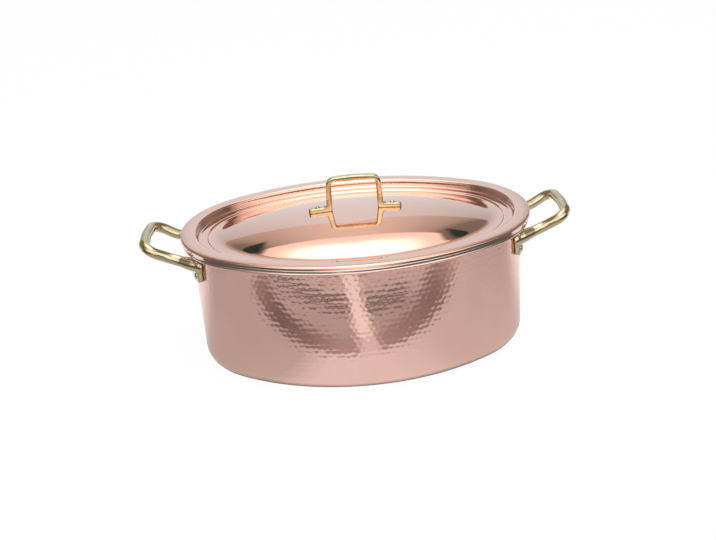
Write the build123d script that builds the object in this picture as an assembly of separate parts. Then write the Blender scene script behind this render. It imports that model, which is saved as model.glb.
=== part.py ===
from build123d import *
import math
import os

# An oval copper stewpot with a stepped, domed lid, in millimetres.
# It stands on z = 0, with its middle over the origin and its long side along X.

# The plan of the pot wall's outer face, an oval of four arcs
wall_half_length = 164.6
wall_half_width = 110.6
wall_end_radius = 87.5

# Sheet and coating thicknesses
pot_copper = 2.0
pot_tin = 0.5
lid_copper = 1.5
lid_tin = 0.5

# The pot, up to the top of its rolled rim, on which the lid rests
pot_height = 135.7
corner_radius = 14.5
base_ring_width = 40.0
rim_reach = 8.4
rim_roll_radius = 4.0
rim_tin_drop = 5.1
rim_leg_drop = 6.5
rim_bead_radius = 1.35
rim_bead_shift = 0.6

# The lid, from its turned down edge in to the foot of its dome
lid_overhang = 10.4
lid_edge_height = 3.6
lid_edge_radius = 3.0
flange_width = 14.0
flange_bend_radius = 2.6
outer_step_run = 5.0
outer_step_drop = 7.5
ledge_width = 6.9
ledge_bend_radius = 2.0
inner_step_run = 1.5
inner_step_drop = 1.5
inner_bend_radius = 2.4
gutter_width = 8.5
gutter_ring_width = 5.0
dome_rise = 17.6

# The bridge handle on the lid, a bar bent up from two thinner feet, with a fuller, crowned grip
strap_thickness = 5.3
strap_width = 7.2
bridge_half_length = 27.3
bridge_splay = 1.0
bridge_height = 33.6
bridge_depth = 4.4
bridge_crown = 2.0
bridge_crown_radius = 200.0
bridge_outer_radius = 8.5
bridge_inner_radius = 3.0
bridge_heel_radius = 3.2
strap_foot_length = 18.2
strap_foot_thinning = 1.3
strap_foot_radius = 2.5
strap_edge_radius = 1.2
lid_shank_radius = 1.7
lid_head_radius = 2.6
lid_head_height = 1.5
lid_head_rim = 0.3
lid_tail_radius = 3.4
lid_tail_height = 1.4

# The end handles, a bent rod on two riveted foot plates under the rim
rod_radius = 5.3
root_radius = 6.7
root_length = 13.0
foot_drop = 12.2
foot_middle_y = 39.0
foot_width = 15.0
foot_height = 24.0
foot_thickness = 4.8
foot_corner_radius = 3.0
foot_edge_radius = 1.0
root_inset = 3.0
root_rise = 17.0
waist_run = 15.9
waist_inset = 9.5
waist_rise = 3.3
waist_radius = 30.0
grip_run = 26.2
grip_flare = 4.5
grip_rise = 14.4
grip_corner_radius = 13.0
grip_bow = 2.2
grip_bow_rise = 0.5
grip_bow_radius = 90.0

# The rivets of the end handles, one near the lower outer corner of each foot plate
handle_shank_radius = 2.4
handle_head_radius = 3.4
handle_head_height = 2.0
handle_tail_radius = 4.6
handle_tail_height = 1.5
rivet_shift = 3.0
rivet_rise = 7.1

# The two centre distances and the side radius that close the oval
end_centre = wall_half_length - wall_end_radius
width_excess = wall_half_width - wall_end_radius
side_centre = (end_centre**2 - width_excess**2) / (2 * width_excess)
wall_side_radius = wall_half_width + side_centre
end_half_angle = math.degrees(math.atan2(side_centre, end_centre))
side_arc_size = 180 - 2 * end_half_angle

# Heights and offsets that the lid's parts share, an offset being a distance outward from the wall
lid_seat = pot_height
lid_top = lid_seat + lid_copper + lid_tin
ledge_height = lid_top - outer_step_drop
gutter_height = ledge_height - inner_step_drop
flange_inner = lid_overhang - flange_width
ledge_outer = flange_inner - outer_step_run
ledge_inner = ledge_outer - ledge_width
gutter_outer = ledge_inner - inner_step_run
dome_foot = gutter_outer - gutter_width
gutter_inner = gutter_outer - gutter_ring_width
dome_top = gutter_height + dome_rise
strap_foot_top = dome_top + strap_thickness - strap_foot_thinning
bridge_heel = bridge_half_length + bridge_splay
strap_reach = bridge_heel + strap_foot_length

# The end handles' places, each measured on from the one before it
foot_bottom = pot_height - foot_drop - foot_height
rivet_height = foot_bottom + rivet_rise
root_height = foot_bottom + root_rise
waist_height = root_height + waist_rise
grip_height = waist_height + grip_rise
waist_reach = wall_half_length + waist_run
grip_reach = waist_reach + grip_run
waist_half_width = foot_middle_y - waist_inset
grip_half_width = waist_half_width + grip_flare

# How far the blanks for trimming and drilling run past what they cut
blank_margin = 10.0


def oval_arcs():
    """The oval's four arcs: centre, radius of the wall's face, start angle and size."""
    return [
        (Vector(end_centre, 0), wall_end_radius, -end_half_angle, 2 * end_half_angle),
        (Vector(0, -side_centre), wall_side_radius, end_half_angle, side_arc_size),
        (Vector(-end_centre, 0), wall_end_radius, 180 - end_half_angle, 2 * end_half_angle),
        (Vector(0, side_centre), wall_side_radius, 180 + end_half_angle, side_arc_size),
    ]


def oval_prism(offset, bottom, top):
    """The oval at an offset from the wall, as an upright solid."""
    edges = [
        CenterArc(centre, radius + offset, start, size)
        for centre, radius, start, size in oval_arcs()
    ]
    face = Face(Wire(edges))
    return Pos(0, 0, bottom) * extrude(face, amount=top - bottom, dir=(0, 0, 1))


def oval_ring(section):
    """A section, drawn as offset and height, carried round the oval."""
    ring = None
    for centre, radius, start, size in oval_arcs():
        angle = math.radians(start)
        outward = Vector(math.cos(angle), math.sin(angle), 0)
        normal = Vector(math.sin(angle), -math.cos(angle), 0)
        plane = Plane(origin=centre, x_dir=outward, z_dir=normal)
        sector = revolve(plane * Pos(radius, 0) * section, Axis(centre, (0, 0, 1)), size)
        ring = sector if ring is None else ring + sector
    return ring


def shifted_route(points, radii, distance):
    """A rounded polyline moved to its left, with its bends kept concentric."""
    corners = [Vector(*point) for point in points]
    runs = [(b - a).normalized() for a, b in zip(corners, corners[1:])]
    lefts = [Vector(-run.Y, run.X) for run in runs]
    moved = [corners[0] + lefts[0] * distance]
    bends = []
    for index, corner in enumerate(corners[1:-1]):
        before, after = lefts[index], lefts[index + 1]
        moved.append(corner + (before + after) * (distance / (1 + before.dot(after))))
        left_turn = runs[index].cross(runs[index + 1]).Z > 0
        bends.append(radii[index] - distance if left_turn else radii[index] + distance)
    moved.append(corners[-1] + lefts[-1] * distance)
    return moved, bends


def sheet_section(points, radii, near, far):
    """The cross section of a bent sheet between two distances from its finished face."""
    near_points, near_radii = shifted_route(points, radii, near)
    far_points, far_radii = shifted_route(points, radii, far)
    near_line = FilletPolyline(*near_points, radius=near_radii)
    far_line = FilletPolyline(*far_points, radius=far_radii)
    start_line = Line(near_points[0], far_points[0])
    end_line = Line(near_points[-1], far_points[-1])
    edges = near_line.edges() + far_line.edges() + [start_line.edge(), end_line.edge()]
    return Sketch() + Face(Wire(edges))


def pot_route(leg_drop):
    """The tinned face of the pot from its floor up the wall and over the rim."""
    floor_level = pot_copper + pot_tin
    wall_face = -pot_copper - pot_tin
    points = [
        (-base_ring_width, floor_level),
        (wall_face, floor_level),
        (wall_face, pot_height),
        (rim_reach, pot_height),
        (rim_reach, pot_height - leg_drop),
    ]
    return points, [corner_radius, rim_roll_radius, rim_roll_radius]


def make_pot_lining():
    """The tin on the inside of the pot, carried over the outside of the rolled rim."""
    points, radii = pot_route(rim_tin_drop)
    ring = oval_ring(sheet_section(points, radii, 0, -pot_tin))
    floor = oval_prism(-base_ring_width, pot_copper, pot_copper + pot_tin)
    return ring + floor


def make_pot_body():
    """The copper pot with its rolled rim, which ends in a small bead."""
    points, radii = pot_route(rim_leg_drop)
    section = sheet_section(points, radii, -pot_tin, -pot_tin - pot_copper)
    bead_offset = rim_reach - pot_tin - pot_copper / 2 + rim_bead_shift
    bead = Pos(bead_offset, pot_height - rim_leg_drop) * Circle(rim_bead_radius)
    floor = oval_prism(-base_ring_width, 0, pot_copper)
    return oval_ring(section + bead) + floor


def lid_route():
    """The lid's upper face from its turned down edge in to the gutter round the dome."""
    points = [
        (lid_overhang, lid_top - lid_edge_height),
        (lid_overhang, lid_top),
        (flange_inner, lid_top),
        (ledge_outer, ledge_height),
        (ledge_inner, ledge_height),
        (gutter_outer, gutter_height),
        (gutter_inner, gutter_height),
    ]
    radii = [
        lid_edge_radius,
        flange_bend_radius,
        ledge_bend_radius,
        inner_bend_radius,
        ledge_bend_radius,
    ]
    return points, radii


def dome_radius(half_span):
    """The radius of an arc that falls by the dome's rise over half its span."""
    return (half_span**2 + dome_rise**2) / (2 * dome_rise)


def dome_drop(place):
    """How far the dome has fallen from its top at a distance along X."""
    radius = dome_radius(wall_half_length + dome_foot)
    return radius - math.sqrt(radius**2 - place**2)


def dome_solid(depth):
    """Everything under the dome and gutter faces, both lowered by a depth."""
    half_length = wall_half_length + dome_foot
    long_radius = dome_radius(half_length) - depth
    cross_radius = dome_radius(wall_half_width + dome_foot) - depth
    top = dome_top - depth
    axis_height = top - cross_radius
    reach = half_length + blank_margin
    end_height = top - long_radius + math.sqrt(long_radius**2 - reach**2)
    crown = ThreePointArc((-reach, 0, end_height), (0, 0, top), (reach, 0, end_height))
    sides = Polyline(
        (reach, 0, end_height), (reach, 0, axis_height), (-reach, 0, axis_height), (-reach, 0, end_height)
    )
    profile = Face(Wire([crown.edge()] + list(sides.edges())))
    barrel = revolve(profile, Axis((0, 0, axis_height), (1, 0, 0)), 360)
    bottom = gutter_height - blank_margin
    column = oval_prism(gutter_inner, bottom, dome_top)
    plate = oval_prism(gutter_inner, bottom, gutter_height - depth)
    return plate + (barrel & column)


def make_lid_sheet(near, far):
    """The part of the lid between two depths under its upper face."""
    points, radii = lid_route()
    ring = oval_ring(sheet_section(points, radii, near, far))
    return ring + (dome_solid(near) - dome_solid(far))


def lid_rivet_places():
    """The middles of the lid handle's feet, by side."""
    reach = bridge_heel + strap_foot_length / 2
    return {"left": -reach, "right": reach}


def lid_holes():
    """Drills for the two lid rivets, long enough for the strap and the lid."""
    drill = Pos(0, 0, dome_top) * Cylinder(lid_shank_radius, 2 * (strap_thickness + blank_margin))
    return [Pos(place, 0, 0) * drill for place in lid_rivet_places().values()]


def strap_end_top():
    """The height of a foot's top at its end, where it has fallen as far as the dome has."""
    return strap_foot_top + dome_drop(bridge_heel) - dome_drop(strap_reach)


def make_strap():
    """The bridge handle's strap before its feet are shaped to the dome."""
    top = dome_top + bridge_height
    bottom = dome_top - blank_margin
    inner_half = bridge_half_length - strap_thickness
    inner_heel = bridge_heel - strap_thickness
    bends = [bridge_heel_radius, bridge_outer_radius]
    outline = FilletPolyline(
        (-strap_reach, strap_end_top()),
        (-bridge_heel, strap_foot_top),
        (-bridge_half_length, top),
        (0, top + bridge_crown),
        (bridge_half_length, top),
        (bridge_heel, strap_foot_top),
        (strap_reach, strap_end_top()),
        radius=bends + [bridge_crown_radius] + bends[::-1],
    )
    underside = FilletPolyline(
        (-inner_heel, bottom),
        (-inner_half, top - bridge_depth),
        (inner_half, top - bridge_depth),
        (inner_heel, bottom),
        radius=bridge_inner_radius,
    )
    edges = outline.edges() + underside.edges()
    for side in (-1, 1):
        foot = Polyline(
            (side * strap_reach, strap_end_top()), (side * strap_reach, bottom), (side * inner_heel, bottom)
        )
        edges += foot.edges()
    profile = Plane.XZ * Face(Wire(edges))
    strap = extrude(profile, amount=strap_width / 2, both=True)
    uprights = strap.edges().filter_by(Axis.Z)
    foot_ends = uprights.filter_by(lambda edge: abs(edge.center().X) > bridge_heel)
    strap = fillet(foot_ends, strap_foot_radius)
    sides = strap.faces().filter_by(Axis.Y)
    return fillet(sides.edges().filter_by(lambda edge: edge.center().Z > dome_top), strap_edge_radius)


def make_lid_handle():
    """The bridge handle, with feet that fit the dome and are drilled for their rivets."""
    return drilled(make_strap() - dome_solid(0), lid_holes())


def rivet_cap(radius, height):
    """A shallow domed rivet head standing on z = 0."""
    sphere_radius = (radius**2 + height**2) / (2 * height)
    ball = Pos(0, 0, height - sphere_radius) * Sphere(sphere_radius)
    trim = Pos(0, 0, height) * Box(4 * radius, 4 * radius, 2 * height)
    return ball & trim


def make_lid_rivet(place, riveted):
    """A rivet through a foot of the lid handle, with its head and tail fitted to what it rivets."""
    under_lid = dome_top - dome_drop(place) - lid_copper - lid_tin
    length = (strap_foot_top + strap_end_top()) / 2 - under_lid
    shank = Pos(0, 0, length / 2) * Cylinder(lid_shank_radius, length)
    head = Cylinder(lid_head_radius, 2 * lid_head_rim) + rivet_cap(lid_head_radius, lid_head_height)
    tail_rim = Cylinder(lid_tail_radius, 2 * lid_tin)
    tail = Rot(180, 0, 0) * rivet_cap(lid_tail_radius, lid_tail_height)
    return Pos(place, 0, under_lid) * (shank + Pos(0, 0, length) * head + tail_rim + tail) - riveted


def foot_plane():
    """The frame of the front foot of the right handle: x inward, y up, z out of the wall."""
    angle = math.asin(foot_middle_y / wall_end_radius)
    outward = Vector(math.cos(angle), -math.sin(angle), 0)
    inward = Vector(math.sin(angle), math.cos(angle), 0)
    seat = Vector(end_centre, 0, 0) + outward * wall_end_radius
    return Plane(origin=seat, x_dir=inward, z_dir=outward)


def rivet_frame():
    """The frame of the right handle's front rivet, with z out of the wall and its origin on the wall."""
    return foot_plane() * Pos(-rivet_shift, rivet_height, 0)


def wall_holes():
    """Drills for the four handle rivets, long enough for the wall and the feet."""
    drill = rivet_frame() * Cylinder(handle_shank_radius, 2 * (foot_thickness + blank_margin))
    return four_ways(drill).values()


def make_foot():
    """One foot plate, with its outer edges rounded."""
    plane = foot_plane()
    outline = Pos(0, foot_bottom + foot_height / 2) * RectangleRounded(
        foot_width, foot_height, foot_corner_radius
    )
    plate = extrude(plane * Pos(0, 0, -foot_thickness) * outline, amount=2 * foot_thickness, dir=plane.z_dir)
    outer_face = plate.faces().sort_by(Axis(plane.origin, plane.z_dir))[-1]
    return fillet(outer_face.edges(), foot_edge_radius)


def make_right_handle():
    """The right end handle: a bent rod whose thickened roots stand on two foot plates."""
    plane = foot_plane()
    root = plane.from_local_coords(Vector(root_inset, root_height, foot_thickness))
    waist = Vector(waist_reach, -waist_half_width, waist_height)
    corner = Vector(grip_reach, -grip_half_width, grip_height)
    crest = Vector(grip_reach + grip_bow, 0, grip_height + grip_bow_rise)
    run = (waist - root).normalized()
    start = root - run * root_length
    half = [start, waist, corner]
    points = half + [crest] + [Vector(point.X, -point.Y, point.Z) for point in reversed(half)]
    bends = [waist_radius, grip_corner_radius]
    path = FilletPolyline(*points, radius=bends + [grip_bow_radius] + bends[::-1])
    rod = sweep(Plane(origin=start, z_dir=run) * Circle(rod_radius), path=path)
    flare = Plane(origin=root, z_dir=run) * Pos(0, 0, root_length / 2) * Cone(
        root_radius, rod_radius, root_length
    )
    stub = Plane(origin=root, z_dir=run) * Pos(0, 0, -root_length / 2) * Cylinder(
        root_radius, root_length
    )
    front = make_foot() + flare + stub
    handle = rod + front + mirror(front, Plane.XZ) - oval_prism(0, 0, lid_top)
    return drilled(handle, wall_holes())


def make_right_front_rivet(pot_wall):
    """A rivet through the right handle's front foot, the wall and its lining."""
    wall = pot_copper + pot_tin
    length = foot_thickness + wall
    shank = Pos(0, 0, foot_thickness - length / 2) * Cylinder(handle_shank_radius, length)
    head = Pos(0, 0, foot_thickness) * rivet_cap(handle_head_radius, handle_head_height)
    tail_rim = Pos(0, 0, -wall) * Cylinder(handle_tail_radius, 2 * pot_tin)
    tail = Pos(0, 0, -wall) * Rot(180, 0, 0) * rivet_cap(handle_tail_radius, handle_tail_height)
    return rivet_frame() * (shank + head + tail_rim + tail) - pot_wall


def drilled(piece, holes):
    """A piece with the rivet holes cut out of it."""
    for hole in holes:
        piece -= hole
    return piece


def four_ways(piece):
    """A piece on the right at the front, with its mirror images, by name."""
    rear = mirror(piece, Plane.XZ)
    return {
        "right_front": piece,
        "right_rear": rear,
        "left_front": mirror(piece, Plane.YZ),
        "left_rear": mirror(rear, Plane.YZ),
    }


def save(piece, name):
    """Write one piece under its name."""
    export_step(piece.solid(), f"parts/{name}.step")


def save_pot():
    """Write the pot, its lining, its end handles and their rivets."""
    pot_body = drilled(make_pot_body(), wall_holes())
    pot_lining = drilled(make_pot_lining(), wall_holes())
    save(pot_body, "pot_body")
    save(pot_lining, "pot_lining")

    right_handle = make_right_handle()
    save(right_handle, "end_handle_right")
    save(mirror(right_handle, Plane.YZ), "end_handle_left")

    rivet = make_right_front_rivet(pot_body + pot_lining)
    for name, piece in four_ways(rivet).items():
        save(piece, f"handle_rivet_{name}")


def save_lid():
    """Write the lid, its lining, its handle and their rivets."""
    lid_shell = drilled(make_lid_sheet(0, lid_copper), lid_holes())
    lid_lining = drilled(make_lid_sheet(lid_copper, lid_copper + lid_tin), lid_holes())
    save(lid_shell, "lid_shell")
    save(lid_lining, "lid_lining")
    lid_handle = make_lid_handle()
    save(lid_handle, "lid_handle")

    for name, place in lid_rivet_places().items():
        save(make_lid_rivet(place, lid_shell + lid_lining + lid_handle), f"lid_rivet_{name}")


os.makedirs("parts", exist_ok=True)
save_pot()
save_lid()
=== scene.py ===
import math

import bpy
import numpy as np
from mathutils import Matrix, Vector


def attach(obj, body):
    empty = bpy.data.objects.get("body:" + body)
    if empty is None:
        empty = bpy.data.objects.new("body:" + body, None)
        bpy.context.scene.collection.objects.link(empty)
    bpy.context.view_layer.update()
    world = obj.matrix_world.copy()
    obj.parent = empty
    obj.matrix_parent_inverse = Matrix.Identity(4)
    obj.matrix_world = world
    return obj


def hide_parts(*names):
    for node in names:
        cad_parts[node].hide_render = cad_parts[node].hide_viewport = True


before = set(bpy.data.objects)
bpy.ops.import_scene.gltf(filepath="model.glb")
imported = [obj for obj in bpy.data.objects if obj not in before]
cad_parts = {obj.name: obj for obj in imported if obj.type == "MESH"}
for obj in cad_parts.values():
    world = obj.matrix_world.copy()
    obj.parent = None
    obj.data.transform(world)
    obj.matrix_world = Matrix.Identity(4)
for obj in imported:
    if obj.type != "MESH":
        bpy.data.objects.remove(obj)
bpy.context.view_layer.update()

MM = 0.001

# The plan of the pot wall's outer face in millimetres, an oval of four arcs
WALL_HALF_LENGTH = 164.6
WALL_HALF_WIDTH = 110.6
WALL_END_RADIUS = 87.5
END_CENTRE = WALL_HALF_LENGTH - WALL_END_RADIUS
WIDTH_EXCESS = WALL_HALF_WIDTH - WALL_END_RADIUS
SIDE_CENTRE = (END_CENTRE**2 - WIDTH_EXCESS**2) / (2 * WIDTH_EXCESS)
WALL_SIDE_RADIUS = WALL_HALF_WIDTH + SIDE_CENTRE
END_HALF_ANGLE = math.atan2(SIDE_CENTRE, END_CENTRE)

# The pot's sheet in millimetres, and the angles in degrees between which its rim's bead is round
POT_COPPER = 2.0
POT_TIN = 0.5
POT_HEIGHT = 135.7
CORNER_RADIUS = 14.5
BASE_RING_WIDTH = 40.0
RIM_REACH = 8.4
RIM_ROLL_RADIUS = 4.8
RIM_TIN_DROP = 5.1
RIM_LEG_DROP = 6.5
RIM_BEAD_RADIUS = 1.35
RIM_BEAD_SHIFT = 0.6
RIM_BEAD_ANGLES = (140.0, 410.0)

# The lid's sheet, in millimetres
LID_COPPER = 1.5
LID_TIN = 0.5
LID_OVERHANG = 10.35
LID_EDGE_HEIGHT = 3.6
LID_EDGE_RADIUS = 1.8
LID_EDGE_FLARE = 0.8
FLANGE_DROOP = 0.6
FLANGE_DROOP_WIDTH = 5.2
FLANGE_DROOP_RADIUS = 25.0
FLANGE_WIDTH = 16.0
FLANGE_BEND_RADIUS = 3.0
OUTER_STEP_RUN = 1.0
OUTER_STEP_DROP = 7.5
LEDGE_WIDTH = 8.9
LEDGE_BEND_RADIUS = 2.6
INNER_STEP_RUN = 1.5
INNER_STEP_DROP = 1.5
INNER_BEND_RADIUS = 2.4
GUTTER_RING_WIDTH = 5.0
GUTTER_WIDTH = 8.5
DOME_RISE = 17.6
DOME_FOOT_BLEND = 3.0
LID_TOP = POT_HEIGHT + LID_COPPER + LID_TIN
FLANGE_INNER = LID_OVERHANG - FLANGE_WIDTH
LEDGE_OUTER = FLANGE_INNER - OUTER_STEP_RUN
LEDGE_INNER = LEDGE_OUTER - LEDGE_WIDTH
GUTTER_OUTER = LEDGE_INNER - INNER_STEP_RUN
LEDGE_HEIGHT = LID_TOP - OUTER_STEP_DROP
GUTTER_HEIGHT = LEDGE_HEIGHT - INNER_STEP_DROP

# The hammer marks on the pot's wall, in millimetres. Jitter is a share of the pitch, variety a share of the
# depth, and lean a slope. Every other row is shifted by a share of the pitch
MARK_PITCH = 5.4
MARK_ROW_PITCH = 5.2
MARK_ROW_SHIFT = 0.5
MARK_DEPTH = 0.20
MARK_VARIETY = 0.12
MARK_LEAN = 0.015
MARK_JITTER = 0.08
HAMMER_RADIUS = 40.0
MARK_TOP = 131.0
MARK_BOTTOM = 9.0
MARK_FADE_HIGH = 5.0
MARK_FADE_LOW = 10.0
MARK_SEED = 7
SPARE_MARK_ROWS = 2
MARKS_IN_REACH = (-1, 0, 1, 2)

# Mesh fineness. A ring is on the wall when its offset in millimetres is smaller than ON_WALL, and the last
# ring of the dome is a share of the gutter's ring
POT_STATIONS = 660
LID_STATIONS = 480
WALL_RING_GAP = 1.25
ON_WALL = 0.01
DOME_RINGS = 44
DOME_LAST_RING = 0.02
BEND_STEPS = 6
BEAD_POINTS = 15
SHARP_ANGLE = 40.0

# How the castings are softened: the size of the new mesh in millimetres and the rounds of smoothing
END_HANDLE_MESH = 0.55
END_HANDLE_ROUNDS = 6
LID_HANDLE_MESH = 0.4
LID_HANDLE_ROUNDS = 30
SMOOTHING = 0.5

# The slow clouds and the fine grain that all metals share. The clouds change the colour and the roughness
# between the two noise values given, and the grain's height is in metres
CLOUD_DETAIL = 4.0
CLOUD_ROUGHNESS = 0.55
CLOUD_COLOUR_LIMITS = (0.3, 0.7)
CLOUD_GLOSS_LIMITS = (0.25, 0.75)
GRAIN_DETAIL = 3.0
GRAIN_HEIGHT = 0.0002

# The photograph's camera: angles in degrees, lengths in millimetres, and its centre in pixels
PHOTO_WIDTH = 716
PHOTO_HEIGHT = 540
VIEW_AZIMUTH = -3.268
VIEW_ELEVATION = 23.12
VIEW_ROLL = -3.56
VIEW_DISTANCE = 949.0
VIEW_TARGET = (34.75, 0.0, 106.8)
FOCAL_PIXELS = 932.05
CENTRE_PIXEL = (392.05, 241.1)
SENSOR_WIDTH = 36.0

# The floor, in metres, and the light in the studio. The camera sees the floor white, but for a small share
# of its own shading
WHITE = (1.0, 1.0, 1.0, 1.0)
FLOOR_HALF_SIZE = 6.0
FLOOR_GREY = (0.82, 0.82, 0.82, 1.0)
FLOOR_WHITE_SHARE = 0.97
FILL_LIGHT = 0.55
LAMP_LENGTH = 1.4
LAMP_WIDTH = 1.0
LAMP_POWER = 18.0
LAMP_PLACE = (0.2, -0.3, 1.6)

# What the metal mirrors on the floor, in metres. Levels are pairs of a place and a grey, and a fade or a
# pair of edges runs from the first number to the second. First a pale table with a bowed front edge
TABLE_LEVELS = [
    (-0.4, 0.52), (-0.2, 0.54), (-0.11, 0.58), (-0.06, 0.84), (0.03, 0.86), (0.12, 0.69), (0.4, 0.56),
]
TABLE_EDGE = -0.181
TABLE_EDGE_SOFT = 0.003
TABLE_BOW = 0.5
TABLE_BOW_MIDDLE = -0.08
BACKDROP_FLOOR = (0.95, 0.96, 0.98)
BACKDROP_FLOOR_FADE = (-0.02, 0.12)

# The oval shade under the pot, whose fade is in shares of the oval's squared size
UNDER_POT = (0.14, 0.11, 0.10)
SHADE_LENGTH = 0.154
SHADE_WIDTH = 0.100
SHADE_FADE = (1.25, 0.95)

# The dark strip past the table's front edge, which widens to both sides
STRIP_WIDTH = 0.038
STRIP_SPREAD = 0.5
STRIP_SOFT = 0.006
STRIP_LEVELS = [
    (-0.4, 0.40), (-0.28, 0.28), (-0.19, 0.16), (-0.11, 0.24), (-0.04, 0.42), (0.04, 0.36), (0.11, 0.27),
    (0.19, 0.23), (0.26, 0.36), (0.33, 0.5), (0.4, 0.56),
]
STRIP_TINT = (1.15, 0.96, 0.92)

# The dim room's floor past the strip, with a thin dark line across it
ROOM_LEVELS = [
    (-0.9, 0.14), (-0.7, 0.16), (-0.47, 0.18), (-0.42, 0.36), (-0.38, 0.66), (-0.33, 0.60), (-0.27, 0.49),
    (-0.2, 0.46),
]
ROOM_TINT = (1.05, 1.0, 1.0)
ROOM_LEAN = 0.15
LINE = (0.15, 0.13, 0.12)
LINE_EDGES = (-0.309, -0.281)
LINE_SOFT = 0.004
LINE_END = 0.11
LINE_END_SOFT = 0.03

# The streak of light across the strip and the room's floor, which is weaker on the strip
STREAK = (1.0, 1.0, 1.0)
STREAK_START = 0.056
STREAK_SLOPE = 0.25
STREAK_FADE = (0.0288, 0.009)
STREAK_ON_STRIP = 0.6

# What lies to the left of the strip and the room, and past both ends of the table in front of the backdrop
SIDE_TABLE = (0.58, 0.56, 0.55)
SIDE_TABLE_EDGES = (-0.33, -0.30)
PAST_TABLE = (0.13, 0.11, 0.10)
TABLE_ENDS = (0.43, 0.47)
TABLE_BACK = (0.12, -0.04)

# What the metal mirrors above the horizon. Bearings run from -1 at the front to 1 at the back. Places
# overhead are on a ceiling one unit up, across to the right and along to the back. The smallest level and
# the lowest rise only keep the sums finite. First a backdrop and a dim ceiling
SMALLEST_LEVEL = 0.001
LOWEST_RISE = 0.02
HORIZON_LEVELS = [(-1.0, 0.8), (0.0, 0.15), (0.6, 0.30), (0.88, 0.45), (0.94, 0.60), (1.0, 0.85)]
CEILING_LEVELS = [
    (-1.0, 0.85), (-0.97, 0.5), (-0.92, 0.18), (-0.7, 0.12), (-0.3, 0.12), (0.0, 0.18), (0.6, 0.25),
    (0.89, 0.18), (0.922, 0.20), (0.936, 0.37), (0.966, 0.52), (1.0, 0.70),
]
BACKDROP_TINT = (0.93, 1.0, 1.06)
CEILING_TINT = (1.15, 1.0, 0.88)
BACKDROP_EDGE = 1.24
BACKDROP_LEAN = 0.83
BACKDROP_SOFT = 0.03

# The wide window in front, by bearing, and by rise from 0 at the horizon to 1 overhead
WINDOW_LEVELS = [
    (-1.0, 1.5), (-0.72, 1.5), (-0.6, 1.0), (-0.45, 0.6), (-0.25, 0.22), (0.0, 0.18), (1.0, 0.18),
]
WINDOW_TURN = 0.1
WINDOW_BEARINGS = (-0.1, -0.3)
WINDOW_RISE = (0.22, 0.76)
WINDOW_SOFT = 0.03
WINDOW_TINT = (1.03, 1.0, 0.95)

# The overhead softbox. Each panel has its near and far edge, its half width, its softness and its light
SOFTBOX_BOW = 0.25
SOFTBOX_PANELS = [
    (-0.75, 0.05, 0.60, 0.12, (0.80, 0.78, 0.75)),
    (-0.70, 0.05, 0.42, 0.08, (1.05, 1.02, 0.98)),
    (-0.70, 0.05, 0.18, 0.10, (1.7, 1.65, 1.6)),
    (-0.1, 0.75, 0.36, 0.02, (1.2, 0.95, 0.87)),
    (-0.1, 0.63, 0.27, 0.07, (1.6, 1.4, 1.25)),
    (-0.1, 0.54, 0.19, 0.12, (3.0, 2.9, 2.8)),
]

# The dark gaps at the softbox's back corners. Each has its left and right edge and its near and far edge
GAPS = [(-0.57, -0.38, 0.74, 1.08), (0.41, 0.55, 0.74, 1.00)]
GAP_SOFT = 0.02
GAP = (0.03, 0.05, 0.045)


# Oval sheet metal


def oval_stations(count):
    """Arc centres, radii, outward normals and distances round for even points on the wall, and its girth."""
    side_angle = math.pi - 2 * END_HALF_ANGLE
    arcs = [
        ((END_CENTRE, 0), WALL_END_RADIUS, -END_HALF_ANGLE, 2 * END_HALF_ANGLE),
        ((0, -SIDE_CENTRE), WALL_SIDE_RADIUS, END_HALF_ANGLE, side_angle),
        ((-END_CENTRE, 0), WALL_END_RADIUS, math.pi - END_HALF_ANGLE, 2 * END_HALF_ANGLE),
        ((0, SIDE_CENTRE), WALL_SIDE_RADIUS, math.pi + END_HALF_ANGLE, side_angle),
    ]
    lengths = [radius * size for _, radius, _, size in arcs]
    ends = np.cumsum(lengths)
    along = np.arange(count) * ends[-1] / count
    which = np.searchsorted(ends, along, side="right")
    centres = np.array([arcs[i][0] for i in which], float)
    radii = np.array([arcs[i][1] for i in which], float)
    starts = np.array([arcs[i][2] for i in which], float)
    into = along - (ends[which] - np.array(lengths)[which])
    angles = starts + into / radii
    normals = np.stack([np.cos(angles), np.sin(angles)], axis=1)
    return centres, radii, normals, along, ends[-1]


def shifted_route(points, radii, distance):
    """A rounded polyline moved to its left, with its bends kept concentric."""
    corners = [np.array(point, float) for point in points]
    runs = [(b - a) / np.linalg.norm(b - a) for a, b in zip(corners, corners[1:])]
    lefts = [np.array([-run[1], run[0]]) for run in runs]
    moved = [corners[0] + lefts[0] * distance]
    bends = []
    for index, corner in enumerate(corners[1:-1]):
        before, after = lefts[index], lefts[index + 1]
        moved.append(corner + (before + after) * (distance / (1 + before @ after)))
        turn = runs[index][0] * runs[index + 1][1] - runs[index][1] * runs[index + 1][0]
        bends.append(radii[index] - distance if turn > 0 else radii[index] + distance)
    moved.append(corners[-1] + lefts[-1] * distance)
    return moved, bends


def rounded_line(points, radii, steps):
    """The points of a polyline with its corners rounded by arcs."""
    corners = [np.array(point, float) for point in points]
    line = [corners[0]]
    for before, corner, after, radius in zip(corners, corners[1:], corners[2:], radii):
        run_in = (corner - before) / np.linalg.norm(corner - before)
        run_out = (after - corner) / np.linalg.norm(after - corner)
        turn = math.atan2(run_in[0] * run_out[1] - run_in[1] * run_out[0], run_in @ run_out)
        reach = radius * math.tan(abs(turn) / 2)
        side = math.copysign(1.0, turn)
        start = corner - run_in * reach
        centre = start + side * radius * np.array([-run_in[1], run_in[0]])
        arm = start - centre
        for share in np.linspace(0, turn, steps + 1):
            cos, sin = math.cos(share), math.sin(share)
            line.append(centre + np.array([arm[0] * cos - arm[1] * sin, arm[0] * sin + arm[1] * cos]))
    line.append(corners[-1])
    return line


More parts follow.
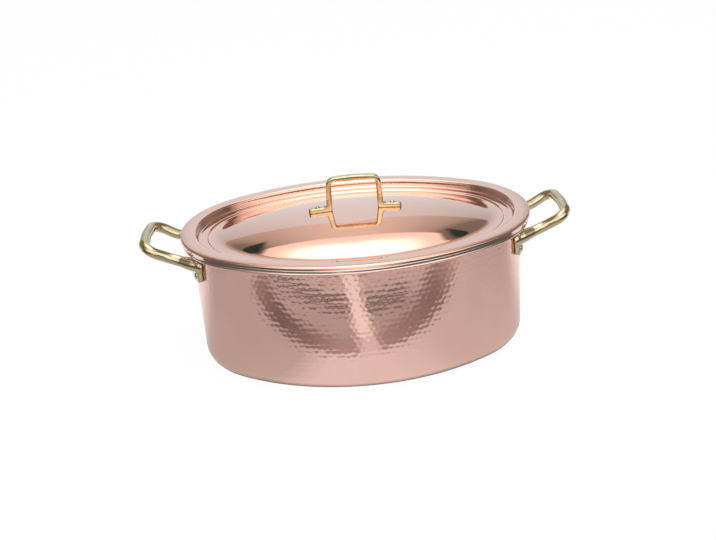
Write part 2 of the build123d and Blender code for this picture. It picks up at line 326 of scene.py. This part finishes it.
def with_wall_filled(line, gap):
    """A line with points added so that no run along the wall's outer face is longer than a gap."""
    filled = [line[0]]
    for before, after in zip(line, line[1:]):
        on_wall = abs(before[0]) < ON_WALL and abs(after[0]) < ON_WALL
        pieces = math.ceil(np.linalg.norm(after - before) / gap) if on_wall else 1
        for step in range(1, pieces + 1):
            filled.append(before + (after - before) * step / pieces)
    return filled


def ring_points(stations, offset, height):
    """One ring of points at an offset from the wall's face, both numbers or one value for each station."""
    centres, radii, normals = stations[:3]
    plan = centres + normals * (radii + offset)[:, None]
    return np.column_stack([plan, np.broadcast_to(height, len(plan))])


def mesh_of_rings(name, rings):
    """A mesh through rings of points with equal counts, closed by a fan at each end."""
    count = len(rings[0])
    index = np.arange(count)
    after = np.roll(index, -1)
    last = (len(rings) - 1) * count
    faces = []
    for low in range(0, last, count):
        high = low + count
        faces += np.stack([low + index, low + after, high + after, high + index], 1).tolist()
    first_middle = last + count
    last_middle = first_middle + 1
    faces += np.stack([np.full(count, first_middle), after, index], 1).tolist()
    faces += np.stack([last + index, last + after, np.full(count, last_middle)], 1).tolist()
    vertices = np.vstack([*rings, rings[0].mean(axis=0), rings[-1].mean(axis=0)])
    mesh = bpy.data.meshes.new(name)
    mesh.from_pydata((vertices * MM).tolist(), [], faces)
    mesh.update()
    return mesh


def add_piece(name, mesh):
    """A smooth shaded object of a mesh, with its sharp edges kept."""
    piece = bpy.data.objects.new(name, mesh)
    bpy.context.scene.collection.objects.link(piece)
    mesh.shade_smooth()
    mesh.set_sharp_from_angle(angle=math.radians(SHARP_ANGLE))
    return piece


# The pot


def pot_route(leg_drop):
    """The tinned face of the pot from its floor up the wall and over the rim."""
    floor_level = POT_COPPER + POT_TIN
    wall_face = -POT_COPPER - POT_TIN
    points = [
        (-BASE_RING_WIDTH, floor_level),
        (wall_face, floor_level),
        (wall_face, POT_HEIGHT),
        (RIM_REACH, POT_HEIGHT),
        (RIM_REACH, POT_HEIGHT - leg_drop),
    ]
    return points, [CORNER_RADIUS, RIM_ROLL_RADIUS, RIM_ROLL_RADIUS]


def rim_bead():
    """The section of the round bead that ends the copper of the rim, as offsets and heights."""
    middle = RIM_REACH - POT_TIN - POT_COPPER / 2 + RIM_BEAD_SHIFT
    level = POT_HEIGHT - RIM_LEG_DROP
    return [
        (middle + RIM_BEAD_RADIUS * math.cos(angle), level + RIM_BEAD_RADIUS * math.sin(angle))
        for angle in np.radians(np.linspace(*RIM_BEAD_ANGLES, BEAD_POINTS))
    ]


def hammer_marks(length):
    """Each hammer mark's shift, depth and lean, for rows up the wall and columns round it."""
    columns = round(length / MARK_PITCH)
    pitch = length / columns
    size = (math.ceil(POT_HEIGHT / MARK_ROW_PITCH) + SPARE_MARK_ROWS, columns)
    random = np.random.default_rng(MARK_SEED)
    return {
        "pitch": pitch,
        "shift_along": random.uniform(-MARK_JITTER, MARK_JITTER, size) * pitch,
        "shift_up": random.uniform(-MARK_JITTER, MARK_JITTER, size) * MARK_ROW_PITCH,
        "depth": MARK_DEPTH * random.uniform(1 - MARK_VARIETY, 1 + MARK_VARIETY, size),
        "lean_along": random.uniform(-MARK_LEAN, MARK_LEAN, size),
        "lean_up": random.uniform(-MARK_LEAN, MARK_LEAN, size),
    }


def hammer_depth(marks, along, height):
    """How deep a ring of the hammered face lies under the plain wall. The deepest dent at a point counts."""
    rows, columns = marks["depth"].shape
    pitch = marks["pitch"]
    deepest = np.zeros(along.shape)
    for row_step in MARKS_IN_REACH:
        row = min(max(math.floor(height / MARK_ROW_PITCH) + row_step, 0), rows - 1)
        row_shift = MARK_ROW_SHIFT * (row % 2)
        home_column = np.floor(along / pitch - row_shift).astype(int)
        for column_step in MARKS_IN_REACH:
            column = home_column + column_step
            mark = (row, column % columns)
            across = along - (column + row_shift) * pitch - marks["shift_along"][mark]
            above = height - row * MARK_ROW_PITCH - marks["shift_up"][mark]
            dent = marks["depth"][mark] + marks["lean_along"][mark] * across + marks["lean_up"][mark] * above
            deepest = np.maximum(deepest, dent - (across**2 + above**2) / (2 * HAMMER_RADIUS))
    fade_low = np.clip((height - MARK_BOTTOM) / MARK_FADE_LOW, 0, 1)
    fade_high = np.clip((MARK_TOP - height) / MARK_FADE_HIGH, 0, 1)
    return deepest * fade_low * fade_high


def make_pot_body():
    """The copper pot: its hammered outer face, its rolled rim and bead, and the face under the tin."""
    stations = oval_stations(POT_STATIONS)
    along, length = stations[3:]
    marks = hammer_marks(length)
    points, radii = pot_route(RIM_LEG_DROP)
    outer = rounded_line(*shifted_route(points, radii, -POT_TIN - POT_COPPER), BEND_STEPS)
    inner = rounded_line(*shifted_route(points, radii, -POT_TIN), BEND_STEPS)
    rings = [ring_points(stations, *outer[0])]
    for offset, height in with_wall_filled(outer, WALL_RING_GAP)[1:-1]:
        depth = hammer_depth(marks, along, height) if abs(offset) < ON_WALL else 0
        rings.append(ring_points(stations, offset - depth, height))
    for offset, height in rim_bead() + inner[-2::-1]:
        rings.append(ring_points(stations, offset, height))
    return add_piece("copper_pot", mesh_of_rings("pot_body_visual", rings))


def make_pot_lining():
    """The tin on the pot's inside, carried over the outside of the rolled rim."""
    stations = oval_stations(LID_STATIONS)
    points, radii = pot_route(RIM_TIN_DROP)
    face = rounded_line(points, radii, BEND_STEPS)
    back = rounded_line(*shifted_route(points, radii, -POT_TIN), BEND_STEPS)
    rings = [ring_points(stations, offset, height) for offset, height in face + back[::-1]]
    return add_piece("tinned_inside", mesh_of_rings("pot_lining_visual", rings))


# The lid


def lid_route():
    """The lid's upper face from its turned down edge in to the gutter round the dome."""
    points = [
        (LID_OVERHANG, LID_TOP - LID_EDGE_HEIGHT),
        (LID_OVERHANG - LID_EDGE_FLARE, LID_TOP - FLANGE_DROOP),
        (LID_OVERHANG - FLANGE_DROOP_WIDTH, LID_TOP),
        (FLANGE_INNER, LID_TOP),
        (LEDGE_OUTER, LEDGE_HEIGHT),
        (LEDGE_INNER, LEDGE_HEIGHT),
        (GUTTER_OUTER, GUTTER_HEIGHT),
        (GUTTER_OUTER - GUTTER_RING_WIDTH, GUTTER_HEIGHT),
    ]
    radii = [
        LID_EDGE_RADIUS, FLANGE_DROOP_RADIUS, FLANGE_BEND_RADIUS, LEDGE_BEND_RADIUS, INNER_BEND_RADIUS,
        LEDGE_BEND_RADIUS,
    ]
    return points, radii


def dome_height(x, y):
    """How high the dome's upper face stands over the gutter, with a soft turn at its foot."""
    half_length = WALL_HALF_LENGTH + GUTTER_OUTER - GUTTER_WIDTH
    half_width = WALL_HALF_WIDTH + GUTTER_OUTER - GUTTER_WIDTH
    long_radius = (half_length**2 + DOME_RISE**2) / (2 * DOME_RISE)
    cross_radius = (half_width**2 + DOME_RISE**2) / (2 * DOME_RISE)
    under_top = np.sqrt(long_radius**2 - x**2) - long_radius
    arch = cross_radius + under_top
    crown = DOME_RISE - cross_radius + np.sqrt(np.maximum(arch**2 - y**2, 0))
    slope = 2 * DOME_RISE / half_width
    soft = slope * DOME_FOOT_BLEND / 2
    return 0.5 * (crown + np.sqrt(crown**2 + soft**2))


def lid_face_rings(stations, depth):
    """Rings of the lid's upper face lowered by a depth, from its edge to its middle."""
    points, radii = lid_route()
    line = rounded_line(*shifted_route(points, radii, depth), BEND_STEPS)
    rings = [ring_points(stations, offset, height) for offset, height in line]
    gutter = rings[-1]
    for share in np.linspace(1, DOME_LAST_RING, DOME_RINGS)[1:]:
        x, y = gutter[:, 0] * share, gutter[:, 1] * share
        rings.append(np.column_stack([x, y, GUTTER_HEIGHT + dome_height(x, y) - depth]))
    return rings


def make_lid_sheet(name, mesh_name, near, far):
    """The part of the lid between two depths under its upper face."""
    stations = oval_stations(LID_STATIONS)
    upper = lid_face_rings(stations, near)
    lower = lid_face_rings(stations, far)
    return add_piece(name, mesh_of_rings(mesh_name, upper[::-1] + lower))


def make_lid_shell():
    """The copper of the lid."""
    return make_lid_sheet("copper_lid", "lid_shell_visual", 0, LID_COPPER)


def make_lid_lining():
    """The tin under the lid."""
    return make_lid_sheet("tinned_lid_inside", "lid_lining_visual", LID_COPPER, LID_COPPER + LID_TIN)


# Cast pieces


def soft_copy(node, name, voxel, rounds):
    """A copy of a CAD node with its edges softened as on a casting."""
    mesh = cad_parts[node].data.copy()
    mesh.name = name + "_mesh"
    piece = bpy.data.objects.new(name, mesh)
    bpy.context.scene.collection.objects.link(piece)
    remesh = piece.modifiers.new("remesh", "REMESH")
    remesh.mode = "VOXEL"
    remesh.voxel_size = voxel * MM
    remesh.use_smooth_shade = True
    smooth = piece.modifiers.new("smooth", "SMOOTH")
    smooth.factor = SMOOTHING
    smooth.iterations = rounds
    evaluated = piece.evaluated_get(bpy.context.evaluated_depsgraph_get())
    softened = bpy.data.meshes.new_from_object(evaluated)
    piece.modifiers.clear()
    piece.data = softened
    softened.shade_smooth()
    return piece


# Building blocks for materials


def new_material(name):
    """An empty material and its node tree."""
    material = bpy.data.materials.new(name)
    material.use_nodes = True
    tree = material.node_tree
    tree.nodes.clear()
    return material, tree


def add_node(tree, kind, values=(), **settings):
    """A shader node with some of its settings and input values."""
    node = tree.nodes.new(kind)
    for key, value in settings.items():
        setattr(node, key, value)
    for key, value in values:
        node.inputs[key].default_value = value
    return node


def calculated(tree, operation, *values):
    """A socket with the result of a sum on sockets or numbers."""
    node = add_node(tree, "ShaderNodeMath", operation=operation)
    for index, value in enumerate(values):
        if isinstance(value, (int, float)):
            node.inputs[index].default_value = value
        else:
            tree.links.new(value, node.inputs[index])
    return node.outputs[0]


def mapped(tree, value, limits, result_limits=(0.0, 1.0), interpolation="LINEAR"):
    """A socket that runs between two results, and not past them, as a value runs between two limits."""
    node = add_node(
        tree, "ShaderNodeMapRange",
        [
            ("From Min", limits[0]), ("From Max", limits[1]),
            ("To Min", result_limits[0]), ("To Max", result_limits[1]),
        ],
        interpolation_type=interpolation,
    )
    tree.links.new(value, node.inputs["Value"])
    return node.outputs["Result"]


def smooth_step(tree, value, low, high):
    """A socket that rises smoothly from 0 to 1 as a value passes from low to high."""
    return mapped(tree, value, (low, high), interpolation="SMOOTHSTEP")


def band(tree, value, low, high, soft):
    """A socket that is 1 while a value is between two limits, with soft ends."""
    rise = smooth_step(tree, value, low - soft, low + soft)
    return calculated(tree, "MULTIPLY", rise, smooth_step(tree, value, high + soft, high - soft))


def ramp(tree, value, levels):
    """A grey socket that passes through levels as a value runs from the first place to the last one."""
    low, high = levels[0][0], levels[-1][0]
    stops = add_node(tree, "ShaderNodeValToRGB")
    elements = stops.color_ramp.elements
    elements.remove(elements[1])
    for index, (value_there, level) in enumerate(levels):
        share = (value_there - low) / (high - low)
        element = elements[0] if index == 0 else elements.new(share)
        element.position = share
        element.color = (level, level, level, 1)
    tree.links.new(mapped(tree, value, (low, high)), stops.inputs["Fac"])
    return stops.outputs["Color"]


def mixed(tree, share, first, second):
    """A colour socket between two colours, each a socket or three numbers."""
    mix = add_node(tree, "ShaderNodeMix", data_type="RGBA")
    tree.links.new(share, mix.inputs[0])
    for index, colour in ((6, first), (7, second)):
        if isinstance(colour, tuple):
            mix.inputs[index].default_value = (*colour, 1)
        else:
            tree.links.new(colour, mix.inputs[index])
    return mix.outputs[2]


def tinted(tree, colour, tint):
    """A colour socket multiplied by three numbers."""
    mix = add_node(tree, "ShaderNodeMix", data_type="RGBA", blend_type="MULTIPLY")
    mix.inputs[0].default_value = 1.0
    tree.links.new(colour, mix.inputs[6])
    mix.inputs[7].default_value = (*tint, 1)
    return mix.outputs[2]


def mixed_shaders(tree, share, first, second):
    """A shader socket between two shader sockets."""
    mix = add_node(tree, "ShaderNodeMixShader")
    for index, socket in enumerate((share, first, second)):
        tree.links.new(socket, mix.inputs[index])
    return mix.outputs[0]


def in_reflections(tree, seen):
    """A socket that is 1 for rays that a surface mirrors or lets through."""
    return calculated(tree, "MAXIMUM", seen.outputs["Is Glossy Ray"], seen.outputs["Is Transmission Ray"])


# Metals


def metal(name, colour, dark_colour, roughness, cloud_scale, grain_scale, grain_strength):
    """A metal with slow changes of colour and roughness and a fine grain."""
    material, tree = new_material(name)
    link = tree.links.new
    output = add_node(tree, "ShaderNodeOutputMaterial")
    shader = add_node(tree, "ShaderNodeBsdfPrincipled", [("Metallic", 1.0)])
    coordinates = add_node(tree, "ShaderNodeTexCoord")
    cloud = add_node(
        tree, "ShaderNodeTexNoise",
        [("Scale", cloud_scale), ("Detail", CLOUD_DETAIL), ("Roughness", CLOUD_ROUGHNESS)],
    )
    grain = add_node(tree, "ShaderNodeTexNoise", [("Scale", grain_scale), ("Detail", GRAIN_DETAIL)])
    bump = add_node(tree, "ShaderNodeBump", [("Strength", grain_strength), ("Distance", GRAIN_HEIGHT)])
    link(coordinates.outputs["Object"], cloud.inputs["Vector"])
    link(coordinates.outputs["Object"], grain.inputs["Vector"])
    link(grain.outputs["Fac"], bump.inputs["Height"])
    darker = mapped(tree, cloud.outputs["Fac"], CLOUD_COLOUR_LIMITS)
    link(mixed(tree, darker, colour, dark_colour), shader.inputs["Base Color"])
    link(mapped(tree, cloud.outputs["Fac"], CLOUD_GLOSS_LIMITS, roughness), shader.inputs["Roughness"])
    link(bump.outputs["Normal"], shader.inputs["Normal"])
    link(shader.outputs["BSDF"], output.inputs["Surface"])
    return material


def make_hammered_copper():
    """The satin copper of the pot."""
    return metal(
        "copper_hammered",
        colour=(0.92, 0.60, 0.515),
        dark_colour=(0.87, 0.545, 0.46),
        roughness=(0.07, 0.12),
        cloud_scale=14.0,
        grain_scale=900.0,
        grain_strength=0.08,
    )


def make_polished_copper():
    """The bright copper of the lid."""
    return metal(
        "copper_polished",
        colour=(0.95, 0.64, 0.54),
        dark_colour=(0.93, 0.61, 0.51),
        roughness=(0.025, 0.05),
        cloud_scale=9.0,
        grain_scale=700.0,
        grain_strength=0.02,
    )


def make_tin():
    """The wiped tin of the linings."""
    return metal(
        "wiped_tin",
        colour=(0.76, 0.73, 0.71),
        dark_colour=(0.66, 0.63, 0.61),
        roughness=(0.07, 0.16),
        cloud_scale=18.0,
        grain_scale=800.0,
        grain_strength=0.08,
    )


def make_cast_brass():
    """The brass of the handles."""
    return metal(
        "cast_brass",
        colour=(0.77, 0.68, 0.46),
        dark_colour=(0.60, 0.51, 0.32),
        roughness=(0.10, 0.20),
        cloud_scale=45.0,
        grain_scale=600.0,
        grain_strength=0.12,
    )


def make_rivet_brass():
    """The duller brass of the rivets."""
    return metal(
        "rivet_brass",
        colour=(0.78, 0.69, 0.48),
        dark_colour=(0.62, 0.52, 0.33),
        roughness=(0.14, 0.24),
        cloud_scale=80.0,
        grain_scale=700.0,
        grain_strength=0.10,
    )


# What the metal mirrors on the floor


def streak_share(tree, x, y):
    """A socket that is 1 in the middle of the streak of light and 0 beside it."""
    middle = calculated(tree, "MULTIPLY_ADD", y, STREAK_SLOPE, STREAK_START)
    off_middle = calculated(tree, "ABSOLUTE", calculated(tree, "SUBTRACT", x, middle))
    return smooth_step(tree, off_middle, *STREAK_FADE)


def table_colour(tree, x, y):
    """The table, with the backdrop's foot at the back and the shade under the pot."""
    at_back = smooth_step(tree, y, *BACKDROP_FLOOR_FADE)
    table = mixed(tree, at_back, ramp(tree, x, TABLE_LEVELS), BACKDROP_FLOOR)
    long_share = calculated(tree, "MULTIPLY", calculated(tree, "MULTIPLY", x, x), SHADE_LENGTH**-2)
    cross_share = calculated(tree, "MULTIPLY", calculated(tree, "MULTIPLY", y, y), SHADE_WIDTH**-2)
    from_middle = calculated(tree, "ADD", long_share, cross_share)
    return mixed(tree, smooth_step(tree, from_middle, *SHADE_FADE), table, UNDER_POT)


def strip_colour(tree, x, in_streak):
    """The dark strip past the table's front edge, with the streak of light on it."""
    strip = tinted(tree, ramp(tree, x, STRIP_LEVELS), STRIP_TINT)
    return mixed(tree, calculated(tree, "MULTIPLY", in_streak, STREAK_ON_STRIP), strip, STREAK)


def room_floor_colour(tree, x, y, in_streak):
    """The room's floor past the strip, with its thin dark line and the streak of light."""
    depth = calculated(tree, "MULTIPLY_ADD", x, ROOM_LEAN, y)
    room = tinted(tree, ramp(tree, depth, ROOM_LEVELS), ROOM_TINT)
    before_end = smooth_step(tree, x, LINE_END + LINE_END_SOFT, LINE_END)
    on_line = calculated(tree, "MULTIPLY", band(tree, y, *LINE_EDGES, LINE_SOFT), before_end)
    room = mixed(tree, on_line, room, LINE)
    return mixed(tree, in_streak, room, STREAK)


def floor_reflection(tree):
    """The colour that reflections show on the floor, by place: a table, a dark strip and a room."""
    geometry = add_node(tree, "ShaderNodeNewGeometry")
    split = add_node(tree, "ShaderNodeSeparateXYZ")
    tree.links.new(geometry.outputs["Position"], split.inputs[0])
    x, y = split.outputs["X"], split.outputs["Y"]
    aside = calculated(tree, "ADD", x, -TABLE_BOW_MIDDLE)
    squared_aside = calculated(tree, "MULTIPLY", aside, aside)
    bow = calculated(tree, "MULTIPLY", squared_aside, TABLE_BOW)
    past_edge = calculated(tree, "SUBTRACT", TABLE_EDGE, calculated(tree, "ADD", y, bow))
    past_strip = calculated(tree, "MULTIPLY_ADD", squared_aside, -STRIP_SPREAD, past_edge)
    in_room = smooth_step(tree, past_strip, STRIP_WIDTH - STRIP_SOFT, STRIP_WIDTH + STRIP_SOFT)
    in_streak = streak_share(tree, x, y)
    strip = strip_colour(tree, x, in_streak)
    beyond = mixed(tree, in_room, strip, room_floor_colour(tree, x, y, in_streak))
    beyond = mixed(tree, smooth_step(tree, x, *SIDE_TABLE_EDGES), SIDE_TABLE, beyond)
    off_table = smooth_step(tree, past_edge, -TABLE_EDGE_SOFT, TABLE_EDGE_SOFT)
    floor = mixed(tree, off_table, table_colour(tree, x, y), beyond)
    past_ends = smooth_step(tree, calculated(tree, "ABSOLUTE", x), *TABLE_ENDS)
    past_table = calculated(tree, "MULTIPLY", past_ends, smooth_step(tree, y, *TABLE_BACK))
    return mixed(tree, past_table, floor, PAST_TABLE)


# What the metal mirrors above the horizon


def backdrop_and_ceiling(tree, bearing, aside, along):
    """The backdrop low down, and the dim ceiling over the backdrop's upper edge."""
    low = tinted(tree, ramp(tree, bearing, HORIZON_LEVELS), BACKDROP_TINT)
    high = tinted(tree, ramp(tree, bearing, CEILING_LEVELS), CEILING_TINT)
    leaning = calculated(tree, "MULTIPLY_ADD", aside, -BACKDROP_LEAN, along)
    below = smooth_step(tree, leaning, BACKDROP_EDGE - BACKDROP_SOFT, BACKDROP_EDGE + BACKDROP_SOFT)
    return mixed(tree, below, high, low)


def with_gaps(tree, colour, across, along):
    """A colour socket with the dark gaps at the softbox's back corners added."""
    for left, right, near, far in GAPS:
        beside = band(tree, across, left, right, GAP_SOFT)
        in_gap = calculated(tree, "MULTIPLY", beside, band(tree, along, near, far, GAP_SOFT))
        colour = mixed(tree, in_gap, colour, GAP)
    return colour


def with_window(tree, colour, bearing, sideways, rise):
    """A colour socket with the window in front added."""
    in_front = smooth_step(tree, bearing, *WINDOW_BEARINGS)
    in_window = calculated(tree, "MULTIPLY", in_front, band(tree, rise, *WINDOW_RISE, WINDOW_SOFT))
    turned = calculated(tree, "MULTIPLY_ADD", sideways, -WINDOW_TURN, bearing)
    window = tinted(tree, ramp(tree, turned, WINDOW_LEVELS), WINDOW_TINT)
    return mixed(tree, in_window, colour, window)


def with_softbox(tree, colour, aside, along):
    """A colour socket with the overhead softbox added, panel by panel."""
    bowed = calculated(tree, "MULTIPLY_ADD", aside, -SOFTBOX_BOW, along)
    for near, far, half_width, soft, light in SOFTBOX_PANELS:
        beside = smooth_step(tree, aside, half_width + soft, half_width - soft)
        over = calculated(tree, "MULTIPLY", band(tree, bowed, near, far, soft), beside)
        colour = mixed(tree, over, colour, light)
    return colour


def room_colour(tree):
    """The colour of the room above the floor, by direction."""
    coordinates = add_node(tree, "ShaderNodeTexCoord")
    split = add_node(tree, "ShaderNodeSeparateXYZ")
    tree.links.new(coordinates.outputs["Generated"], split.inputs[0])
    x, y, rise = split.outputs["X"], split.outputs["Y"], split.outputs["Z"]
    squared = calculated(tree, "MULTIPLY_ADD", x, x, calculated(tree, "MULTIPLY", y, y))
    level = calculated(tree, "MAXIMUM", calculated(tree, "SQRT", squared), SMALLEST_LEVEL)
    bearing = calculated(tree, "DIVIDE", y, level)
    sideways = calculated(tree, "DIVIDE", x, level)
    height = calculated(tree, "MAXIMUM", rise, LOWEST_RISE)
    across = calculated(tree, "DIVIDE", x, height)
    along = calculated(tree, "DIVIDE", y, height)
    aside = calculated(tree, "ABSOLUTE", across)
    colour = backdrop_and_ceiling(tree, bearing, aside, along)
    colour = with_gaps(tree, colour, across, along)
    colour = with_window(tree, colour, bearing, sideways, rise)
    return with_softbox(tree, colour, aside, along)


# Studio


def make_camera():
    """The photograph's camera, with its roll and its off-centre frame."""
    azimuth, elevation, roll = (math.radians(angle) for angle in (VIEW_AZIMUTH, VIEW_ELEVATION, VIEW_ROLL))
    back = Vector((
        math.sin(azimuth) * math.cos(elevation),
        -math.cos(azimuth) * math.cos(elevation),
        math.sin(elevation),
    ))
    level = Vector((math.cos(azimuth), math.sin(azimuth), 0))
    upright = back.cross(level)
    right = level * math.cos(roll) + upright * math.sin(roll)
    up = upright * math.cos(roll) - level * math.sin(roll)
    data = bpy.data.cameras.new("camera")
    data.sensor_width = SENSOR_WIDTH
    data.lens = FOCAL_PIXELS / PHOTO_WIDTH * SENSOR_WIDTH
    data.shift_x = (PHOTO_WIDTH / 2 - CENTRE_PIXEL[0]) / PHOTO_WIDTH
    data.shift_y = (CENTRE_PIXEL[1] - PHOTO_HEIGHT / 2) / PHOTO_WIDTH
    camera = bpy.data.objects.new("camera", data)
    bpy.context.scene.collection.objects.link(camera)
    eye = (Vector(VIEW_TARGET) + back * VIEW_DISTANCE) * MM
    axes = Matrix((right, up, back)).transposed().to_4x4()
    camera.matrix_world = Matrix.Translation(eye) @ axes
    bpy.context.scene.camera = camera


def make_floor_paper():
    """Paper that stays white to the camera but keeps a soft shadow, and that metal sees as a table."""
    material, tree = new_material("floor_paper")
    output = add_node(tree, "ShaderNodeOutputMaterial")
    paper = add_node(tree, "ShaderNodeBsdfDiffuse", [("Color", FLOOR_GREY)])
    white = add_node(tree, "ShaderNodeEmission", [("Color", WHITE), ("Strength", 1.0)])
    mirrored = add_node(tree, "ShaderNodeEmission", [("Strength", 1.0)])
    tree.links.new(floor_reflection(tree), mirrored.inputs["Color"])
    seen = add_node(tree, "ShaderNodeLightPath")
    white_share = calculated(tree, "MULTIPLY", seen.outputs["Is Camera Ray"], FLOOR_WHITE_SHARE)
    to_camera = mixed_shaders(tree, white_share, paper.outputs[0], white.outputs[0])
    to_metal = mixed_shaders(tree, in_reflections(tree, seen), to_camera, mirrored.outputs[0])
    tree.links.new(to_metal, output.inputs["Surface"])
    return material


def make_floor():
    """The wide floor that the pot stands on."""
    size = FLOOR_HALF_SIZE
    corners = [(-size, -size, 0), (size, -size, 0), (size, size, 0), (-size, size, 0)]
    mesh = bpy.data.meshes.new("floor")
    mesh.from_pydata(corners, [], [(0, 1, 2, 3)])
    mesh.materials.append(make_floor_paper())
    floor = bpy.data.objects.new("floor", mesh)
    bpy.context.scene.collection.objects.link(floor)


def make_world():
    """A plain white surround, with a photographer's room for reflections alone."""
    world = bpy.data.worlds.new("studio")
    bpy.context.scene.world = world
    world.use_nodes = True
    tree = world.node_tree
    tree.nodes.clear()
    output = add_node(tree, "ShaderNodeOutputWorld")
    plain = add_node(tree, "ShaderNodeBackground", [("Color", WHITE), ("Strength", 1.0)])
    fill = add_node(tree, "ShaderNodeBackground", [("Color", WHITE), ("Strength", FILL_LIGHT)])
    room = add_node(tree, "ShaderNodeBackground", [("Strength", 1.0)])
    tree.links.new(room_colour(tree), room.inputs["Color"])
    seen = add_node(tree, "ShaderNodeLightPath")
    to_camera = mixed_shaders(tree, seen.outputs["Is Camera Ray"], fill.outputs[0], plain.outputs[0])
    to_metal = mixed_shaders(tree, in_reflections(tree, seen), to_camera, room.outputs[0])
    tree.links.new(to_metal, output.inputs["Surface"])


def make_lamps():
    """A broad lamp for the floor's soft shadow. Reflections don't show it."""
    data = bpy.data.lights.new("softbox", "AREA")
    data.shape = "RECTANGLE"
    data.size = LAMP_LENGTH
    data.size_y = LAMP_WIDTH
    data.energy = LAMP_POWER
    lamp = bpy.data.objects.new("softbox", data)
    bpy.context.scene.collection.objects.link(lamp)
    lamp.location = LAMP_PLACE
    lamp.rotation_euler = (-Vector(lamp.location)).to_track_quat("-Z", "Y").to_euler()
    lamp.visible_glossy = False


# Putting it together


def dress(piece, material):
    """Give a piece one material."""
    piece.data.materials.clear()
    piece.data.materials.append(material)


def place(piece, node, body, material):
    """Let a piece stand for a CAD node and ride on its body."""
    dress(piece, material)
    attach(piece, body)
    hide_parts(node)


make_camera()

hammered_copper = make_hammered_copper()
polished_copper = make_polished_copper()
tin = make_tin()
cast_brass = make_cast_brass()
rivet_brass = make_rivet_brass()

place(make_pot_body(), "pot_body", "pot", hammered_copper)
place(make_pot_lining(), "pot_lining", "pot", tin)
place(make_lid_shell(), "lid_shell", "lid", polished_copper)
place(make_lid_lining(), "lid_lining", "lid", tin)
for side in ("left", "right"):
    node = f"end_handle_{side}"
    handle = soft_copy(node, f"cast_{node}", END_HANDLE_MESH, END_HANDLE_ROUNDS)
    place(handle, node, "pot", cast_brass)
handle = soft_copy("lid_handle", "cast_lid_handle", LID_HANDLE_MESH, LID_HANDLE_ROUNDS)
place(handle, "lid_handle", "lid", cast_brass)
for node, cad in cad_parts.items():
    if "rivet" in node:
        dress(cad, rivet_brass)

make_floor()
make_world()
make_lamps()

bpy.context.scene.view_settings.view_transform = "Standard"
